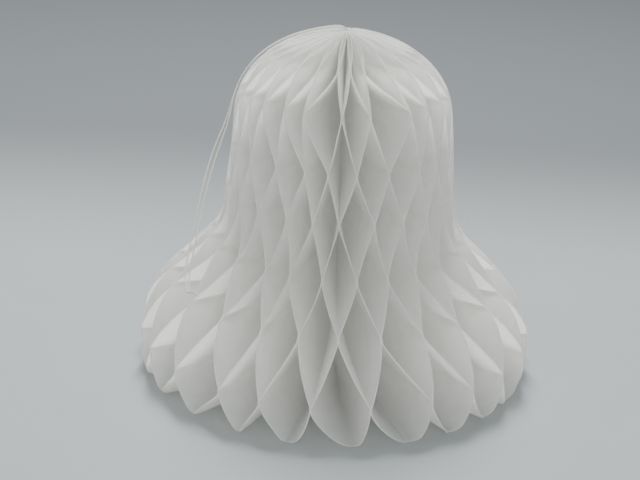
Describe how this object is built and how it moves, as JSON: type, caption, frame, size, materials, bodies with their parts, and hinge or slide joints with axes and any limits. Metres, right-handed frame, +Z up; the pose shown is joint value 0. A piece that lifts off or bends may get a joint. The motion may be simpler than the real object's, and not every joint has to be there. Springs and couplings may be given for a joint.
{
  "type": "honeycomb paper bell",
  "caption": "White tissue honeycomb bell standing open, with a looped hanging thread; its leaves fold flat about a stitched spine between card covers.",
  "frame": {"origin": "on the spine's axis at the level of the mouth, where the open bell stands", "axes": "+Z up along the spine from the mouth to the crown; -Y towards the front; the covers meet at the back, near +Y"},
  "size_m": [0.2006, 0.2005, 0.1764],
  "materials": {
    "tissue": "matte",
    "card": "matte",
    "adhesive_film": "satin",
    "binding": "matte",
    "cotton_thread": "matte"
  },
  "bodies": {
    "fixed_cover": {"cover_fixed": "card", "closing_strip": "adhesive_film", "spine_binding": "binding", "thread_strand_a": "cotton_thread", "thread_strand_b": "cotton_thread", "thread_knot": "cotton_thread"},
    "turning_cover": {"cover_turning": "card"},
    "leaf_01": {"leaf_01": "tissue"},
    "leaf_02": {"leaf_02": "tissue"},
    "leaf_03": {"leaf_03": "tissue"},
    "leaf_04": {"leaf_04": "tissue"},
    "leaf_05": {"leaf_05": "tissue"},
    "leaf_06": {"leaf_06": "tissue"},
    "leaf_07": {"leaf_07": "tissue"},
    "leaf_08": {"leaf_08": "tissue"},
    "leaf_09": {"leaf_09": "tissue"},
    "leaf_10": {"leaf_10": "tissue"},
    "leaf_11": {"leaf_11": "tissue"},
    "leaf_12": {"leaf_12": "tissue"},
    "leaf_13": {"leaf_13": "tissue"},
    "leaf_14": {"leaf_14": "tissue"},
    "leaf_15": {"leaf_15": "tissue"},
    "leaf_16": {"leaf_16": "tissue"},
    "leaf_17": {"leaf_17": "tissue"},
    "leaf_18": {"leaf_18": "tissue"},
    "leaf_19": {"leaf_19": "tissue"},
    "leaf_20": {"leaf_20": "tissue"},
    "leaf_21": {"leaf_21": "tissue"},
    "leaf_22": {"leaf_22": "tissue"},
    "leaf_23": {"leaf_23": "tissue"},
    "leaf_24": {"leaf_24": "tissue"},
    "leaf_25": {"leaf_25": "tissue"},
    "leaf_26": {"leaf_26": "tissue"},
    "leaf_27": {"leaf_27": "tissue"},
    "leaf_28": {"leaf_28": "tissue"},
    "leaf_29": {"leaf_29": "tissue"},
    "leaf_30": {"leaf_30": "tissue"},
    "leaf_31": {"leaf_31": "tissue"},
    "leaf_32": {"leaf_32": "tissue"},
    "leaf_33": {"leaf_33": "tissue"},
    "leaf_34": {"leaf_34": "tissue"},
    "leaf_35": {"leaf_35": "tissue"},
    "leaf_36": {"leaf_36": "tissue"},
    "leaf_37": {"leaf_37": "tissue"},
    "leaf_38": {"leaf_38": "tissue"},
    "leaf_39": {"leaf_39": "tissue"},
    "leaf_40": {"leaf_40": "tissue"},
    "leaf_41": {"leaf_41": "tissue"},
    "leaf_42": {"leaf_42": "tissue"},
    "leaf_43": {"leaf_43": "tissue"},
    "leaf_44": {"leaf_44": "tissue"},
    "leaf_45": {"leaf_45": "tissue"},
    "leaf_46": {"leaf_46": "tissue"},
    "leaf_47": {"leaf_47": "tissue"},
    "leaf_48": {"leaf_48": "tissue"}
  },
  "joints": [
    {"name": "cover_fold", "type": "hinge", "parent": "fixed_cover", "child": "turning_cover", "pos_m": [0, 0, 0], "axis": [0, 0, 1], "range_deg": [-350, 0]},
    {"name": "leaf_01_turn", "type": "hinge", "parent": "fixed_cover", "child": "leaf_01", "pos_m": [0, 0, 0], "axis": [0, 0, 1], "range_deg": [-3.67, 0], "deforming": ["leaf_01"]},
    {"name": "leaf_02_turn", "type": "hinge", "parent": "fixed_cover", "child": "leaf_02", "pos_m": [0, 0, 0], "axis": [0, 0, 1], "range_deg": [-10.96, 0], "deforming": ["leaf_02"]},
    {"name": "leaf_03_turn", "type": "hinge", "parent": "fixed_cover", "child": "leaf_03", "pos_m": [0, 0, 0], "axis": [0, 0, 1], "range_deg": [-18.25, 0], "deforming": ["leaf_03"]},
    {"name": "leaf_04_turn", "type": "hinge", "parent": "fixed_cover", "child": "leaf_04", "pos_m": [0, 0, 0], "axis": [0, 0, 1], "range_deg": [-25.54, 0], "deforming": ["leaf_04"]},
    {"name": "leaf_05_turn", "type": "hinge", "parent": "fixed_cover", "child": "leaf_05", "pos_m": [0, 0, 0], "axis": [0, 0, 1], "range_deg": [-32.83, 0], "deforming": ["leaf_05"]},
    {"name": "leaf_06_turn", "type": "hinge", "parent": "fixed_cover", "child": "leaf_06", "pos_m": [0, 0, 0], "axis": [0, 0, 1], "range_deg": [-40.12, 0], "deforming": ["leaf_06"]},
    {"name": "leaf_07_turn", "type": "hinge", "parent": "fixed_cover", "child": "leaf_07", "pos_m": [0, 0, 0], "axis": [0, 0, 1], "range_deg": [-47.42, 0], "deforming": ["leaf_07"]},
    {"name": "leaf_08_turn", "type": "hinge", "parent": "fixed_cover", "child": "leaf_08", "pos_m": [0, 0, 0], "axis": [0, 0, 1], "range_deg": [-54.71, 0], "deforming": ["leaf_08"]},
    {"name": "leaf_09_turn", "type": "hinge", "parent": "fixed_cover", "child": "leaf_09", "pos_m": [0, 0, 0], "axis": [0, 0, 1], "range_deg": [-62, 0], "deforming": ["leaf_09"]},
    {"name": "leaf_10_turn", "type": "hinge", "parent": "fixed_cover", "child": "leaf_10", "pos_m": [0, 0, 0], "axis": [0, 0, 1], "range_deg": [-69.29, 0], "deforming": ["leaf_10"]},
    {"name": "leaf_11_turn", "type": "hinge", "parent": "fixed_cover", "child": "leaf_11", "pos_m": [0, 0, 0], "axis": [0, 0, 1], "range_deg": [-76.58, 0], "deforming": ["leaf_11"]},
    {"name": "leaf_12_turn", "type": "hinge", "parent": "fixed_cover", "child": "leaf_12", "pos_m": [0, 0, 0], "axis": [0, 0, 1], "range_deg": [-83.87, 0], "deforming": ["leaf_12"]},
    {"name": "leaf_13_turn", "type": "hinge", "parent": "fixed_cover", "child": "leaf_13", "pos_m": [0, 0, 0], "axis": [0, 0, 1], "range_deg": [-91.17, 0], "deforming": ["leaf_13"]},
    {"name": "leaf_14_turn", "type": "hinge", "parent": "fixed_cover", "child": "leaf_14", "pos_m": [0, 0, 0], "axis": [0, 0, 1], "range_deg": [-98.46, 0], "deforming": ["leaf_14"]},
    {"name": "leaf_15_turn", "type": "hinge", "parent": "fixed_cover", "child": "leaf_15", "pos_m": [0, 0, 0], "axis": [0, 0, 1], "range_deg": [-105.75, 0], "deforming": ["leaf_15"]},
    {"name": "leaf_16_turn", "type": "hinge", "parent": "fixed_cover", "child": "leaf_16", "pos_m": [0, 0, 0], "axis": [0, 0, 1], "range_deg": [-113.04, 0], "deforming": ["leaf_16"]},
    {"name": "leaf_17_turn", "type": "hinge", "parent": "fixed_cover", "child": "leaf_17", "pos_m": [0, 0, 0], "axis": [0, 0, 1], "range_deg": [-120.33, 0], "deforming": ["leaf_17"]},
    {"name": "leaf_18_turn", "type": "hinge", "parent": "fixed_cover", "child": "leaf_18", "pos_m": [0, 0, 0], "axis": [0, 0, 1], "range_deg": [-127.62, 0], "deforming": ["leaf_18"]},
    {"name": "leaf_19_turn", "type": "hinge", "parent": "fixed_cover", "child": "leaf_19", "pos_m": [0, 0, 0], "axis": [0, 0, 1], "range_deg": [-134.92, 0], "deforming": ["leaf_19"]},
    {"name": "leaf_20_turn", "type": "hinge", "parent": "fixed_cover", "child": "leaf_20", "pos_m": [0, 0, 0], "axis": [0, 0, 1], "range_deg": [-142.21, 0], "deforming": ["leaf_20"]},
    {"name": "leaf_21_turn", "type": "hinge", "parent": "fixed_cover", "child": "leaf_21", "pos_m": [0, 0, 0], "axis": [0, 0, 1], "range_deg": [-149.5, 0], "deforming": ["leaf_21"]},
    {"name": "leaf_22_turn", "type": "hinge", "parent": "fixed_cover", "child": "leaf_22", "pos_m": [0, 0, 0], "axis": [0, 0, 1], "range_deg": [-156.79, 0], "deforming": ["leaf_22"]},
    {"name": "leaf_23_turn", "type": "hinge", "parent": "fixed_cover", "child": "leaf_23", "pos_m": [0, 0, 0], "axis": [0, 0, 1], "range_deg": [-164.08, 0], "deforming": ["leaf_23"]},
    {"name": "leaf_24_turn", "type": "hinge", "parent": "fixed_cover", "child": "leaf_24", "pos_m": [0, 0, 0], "axis": [0, 0, 1], "range_deg": [-171.37, 0], "deforming": ["leaf_24"]},
    {"name": "leaf_25_turn", "type": "hinge", "parent": "fixed_cover", "child": "leaf_25", "pos_m": [0, 0, 0], "axis": [0, 0, 1], "range_deg": [-178.67, 0], "deforming": ["leaf_25"]},
    {"name": "leaf_26_turn", "type": "hinge", "parent": "fixed_cover", "child": "leaf_26", "pos_m": [0, 0, 0], "axis": [0, 0, 1], "range_deg": [-185.96, 0], "deforming": ["leaf_26"]},
    {"name": "leaf_27_turn", "type": "hinge", "parent": "fixed_cover", "child": "leaf_27", "pos_m": [0, 0, 0], "axis": [0, 0, 1], "range_deg": [-193.25, 0], "deforming": ["leaf_27"]},
    {"name": "leaf_28_turn", "type": "hinge", "parent": "fixed_cover", "child": "leaf_28", "pos_m": [0, 0, 0], "axis": [0, 0, 1], "range_deg": [-200.54, 0], "deforming": ["leaf_28"]},
    {"name": "leaf_29_turn", "type": "hinge", "parent": "fixed_cover", "child": "leaf_29", "pos_m": [0, 0, 0], "axis": [0, 0, 1], "range_deg": [-207.83, 0], "deforming": ["leaf_29"]},
    {"name": "leaf_30_turn", "type": "hinge", "parent": "fixed_cover", "child": "leaf_30", "pos_m": [0, 0, 0], "axis": [0, 0, 1], "range_deg": [-215.12, 0], "deforming": ["leaf_30"]},
    {"name": "leaf_31_turn", "type": "hinge", "parent": "fixed_cover", "child": "leaf_31", "pos_m": [0, 0, 0], "axis": [0, 0, 1], "range_deg": [-222.42, 0], "deforming": ["leaf_31"]},
    {"name": "leaf_32_turn", "type": "hinge", "parent": "fixed_cover", "child": "leaf_32", "pos_m": [0, 0, 0], "axis": [0, 0, 1], "range_deg": [-229.71, 0], "deforming": ["leaf_32"]},
    {"name": "leaf_33_turn", "type": "hinge", "parent": "fixed_cover", "child": "leaf_33", "pos_m": [0, 0, 0], "axis": [0, 0, 1], "range_deg": [-237, 0], "deforming": ["leaf_33"]},
    {"name": "leaf_34_turn", "type": "hinge", "parent": "fixed_cover", "child": "leaf_34", "pos_m": [0, 0, 0], "axis": [0, 0, 1], "range_deg": [-244.29, 0], "deforming": ["leaf_34"]},
    {"name": "leaf_35_turn", "type": "hinge", "parent": "fixed_cover", "child": "leaf_35", "pos_m": [0, 0, 0], "axis": [0, 0, 1], "range_deg": [-251.58, 0], "deforming": ["leaf_35"]},
    {"name": "leaf_36_turn", "type": "hinge", "parent": "fixed_cover", "child": "leaf_36", "pos_m": [0, 0, 0], "axis": [0, 0, 1], "range_deg": [-258.87, 0], "deforming": ["leaf_36"]},
    {"name": "leaf_37_turn", "type": "hinge", "parent": "fixed_cover", "child": "leaf_37", "pos_m": [0, 0, 0], "axis": [0, 0, 1], "range_deg": [-266.17, 0], "deforming": ["leaf_37"]},
    {"name": "leaf_38_turn", "type": "hinge", "parent": "fixed_cover", "child": "leaf_38", "pos_m": [0, 0, 0], "axis": [0, 0, 1], "range_deg": [-273.46, 0], "deforming": ["leaf_38"]},
    {"name": "leaf_39_turn", "type": "hinge", "parent": "fixed_cover", "child": "leaf_39", "pos_m": [0, 0, 0], "axis": [0, 0, 1], "range_deg": [-280.75, 0], "deforming": ["leaf_39"]},
    {"name": "leaf_40_turn", "type": "hinge", "parent": "fixed_cover", "child": "leaf_40", "pos_m": [0, 0, 0], "axis": [0, 0, 1], "range_deg": [-288.04, 0], "deforming": ["leaf_40"]},
    {"name": "leaf_41_turn", "type": "hinge", "parent": "fixed_cover", "child": "leaf_41", "pos_m": [0, 0, 0], "axis": [0, 0, 1], "range_deg": [-295.33, 0], "deforming": ["leaf_41"]},
    {"name": "leaf_42_turn", "type": "hinge", "parent": "fixed_cover", "child": "leaf_42", "pos_m": [0, 0, 0], "axis": [0, 0, 1], "range_deg": [-302.62, 0], "deforming": ["leaf_42"]},
    {"name": "leaf_43_turn", "type": "hinge", "parent": "fixed_cover", "child": "leaf_43", "pos_m": [0, 0, 0], "axis": [0, 0, 1], "range_deg": [-309.92, 0], "deforming": ["leaf_43"]},
    {"name": "leaf_44_turn", "type": "hinge", "parent": "fixed_cover", "child": "leaf_44", "pos_m": [0, 0, 0], "axis": [0, 0, 1], "range_deg": [-317.21, 0], "deforming": ["leaf_44"]},
    {"name": "leaf_45_turn", "type": "hinge", "parent": "fixed_cover", "child": "leaf_45", "pos_m": [0, 0, 0], "axis": [0, 0, 1], "range_deg": [-324.5, 0], "deforming": ["leaf_45"]},
    {"name": "leaf_46_turn", "type": "hinge", "parent": "fixed_cover", "child": "leaf_46", "pos_m": [0, 0, 0], "axis": [0, 0, 1], "range_deg": [-331.79, 0], "deforming": ["leaf_46"]},
    {"name": "leaf_47_turn", "type": "hinge", "parent": "fixed_cover", "child": "leaf_47", "pos_m": [0, 0, 0], "axis": [0, 0, 1], "range_deg": [-339.08, 0], "deforming": ["leaf_47"]},
    {"name": "leaf_48_turn", "type": "hinge", "parent": "fixed_cover", "child": "leaf_48", "pos_m": [0, 0, 0], "axis": [0, 0, 1], "range_deg": [-346.37, 0], "deforming": ["leaf_48"]}
  ],
  "couplings": [
    {"joint": "leaf_01_turn", "follows": "cover_fold", "ratio": 0.010417},
    {"joint": "leaf_02_turn", "follows": "cover_fold", "ratio": 0.03125},
    {"joint": "leaf_03_turn", "follows": "cover_fold", "ratio": 0.052083},
    {"joint": "leaf_04_turn", "follows": "cover_fold", "ratio": 0.072917},
    {"joint": "leaf_05_turn", "follows": "cover_fold", "ratio": 0.09375},
    {"joint": "leaf_06_turn", "follows": "cover_fold", "ratio": 0.11458},
    {"joint": "leaf_07_turn", "follows": "cover_fold", "ratio": 0.13542},
    {"joint": "leaf_08_turn", "follows": "cover_fold", "ratio": 0.15625},
    {"joint": "leaf_09_turn", "follows": "cover_fold", "ratio": 0.17708},
    {"joint": "leaf_10_turn", "follows": "cover_fold", "ratio": 0.19792},
    {"joint": "leaf_11_turn", "follows": "cover_fold", "ratio": 0.21875},
    {"joint": "leaf_12_turn", "follows": "cover_fold", "ratio": 0.23958},
    {"joint": "leaf_13_turn", "follows": "cover_fold", "ratio": 0.26042},
    {"joint": "leaf_14_turn", "follows": "cover_fold", "ratio": 0.28125},
    {"joint": "leaf_15_turn", "follows": "cover_fold", "ratio": 0.30208},
    {"joint": "leaf_16_turn", "follows": "cover_fold", "ratio": 0.32292},
    {"joint": "leaf_17_turn", "follows": "cover_fold", "ratio": 0.34375},
    {"joint": "leaf_18_turn", "follows": "cover_fold", "ratio": 0.36458},
    {"joint": "leaf_19_turn", "follows": "cover_fold", "ratio": 0.38542},
    {"joint": "leaf_20_turn", "follows": "cover_fold", "ratio": 0.40625},
    {"joint": "leaf_21_turn", "follows": "cover_fold", "ratio": 0.42708},
    {"joint": "leaf_22_turn", "follows": "cover_fold", "ratio": 0.44792},
    {"joint": "leaf_23_turn", "follows": "cover_fold", "ratio": 0.46875},
    {"joint": "leaf_24_turn", "follows": "cover_fold", "ratio": 0.48958},
    {"joint": "leaf_25_turn", "follows": "cover_fold", "ratio": 0.51042},
    {"joint": "leaf_26_turn", "follows": "cover_fold", "ratio": 0.53125},
    {"joint": "leaf_27_turn", "follows": "cover_fold", "ratio": 0.55208},
    {"joint": "leaf_28_turn", "follows": "cover_fold", "ratio": 0.57292},
    {"joint": "leaf_29_turn", "follows": "cover_fold", "ratio": 0.59375},
    {"joint": "leaf_30_turn", "follows": "cover_fold", "ratio": 0.61458},
    {"joint": "leaf_31_turn", "follows": "cover_fold", "ratio": 0.63542},
    {"joint": "leaf_32_turn", "follows": "cover_fold", "ratio": 0.65625},
    {"joint": "leaf_33_turn", "follows": "cover_fold", "ratio": 0.67708},
    {"joint": "leaf_34_turn", "follows": "cover_fold", "ratio": 0.69792},
    {"joint": "leaf_35_turn", "follows": "cover_fold", "ratio": 0.71875},
    {"joint": "leaf_36_turn", "follows": "cover_fold", "ratio": 0.73958},
    {"joint": "leaf_37_turn", "follows": "cover_fold", "ratio": 0.76042},
    {"joint": "leaf_38_turn", "follows": "cover_fold", "ratio": 0.78125},
    {"joint": "leaf_39_turn", "follows": "cover_fold", "ratio": 0.80208},
    {"joint": "leaf_40_turn", "follows": "cover_fold", "ratio": 0.82292},
    {"joint": "leaf_41_turn", "follows": "cover_fold", "ratio": 0.84375},
    {"joint": "leaf_42_turn", "follows": "cover_fold", "ratio": 0.86458},
    {"joint": "leaf_43_turn", "follows": "cover_fold", "ratio": 0.88542},
    {"joint": "leaf_44_turn", "follows": "cover_fold", "ratio": 0.90625},
    {"joint": "leaf_45_turn", "follows": "cover_fold", "ratio": 0.92708},
    {"joint": "leaf_46_turn", "follows": "cover_fold", "ratio": 0.94792},
    {"joint": "leaf_47_turn", "follows": "cover_fold", "ratio": 0.96875},
    {"joint": "leaf_48_turn", "follows": "cover_fold", "ratio": 0.98958}
  ]
}
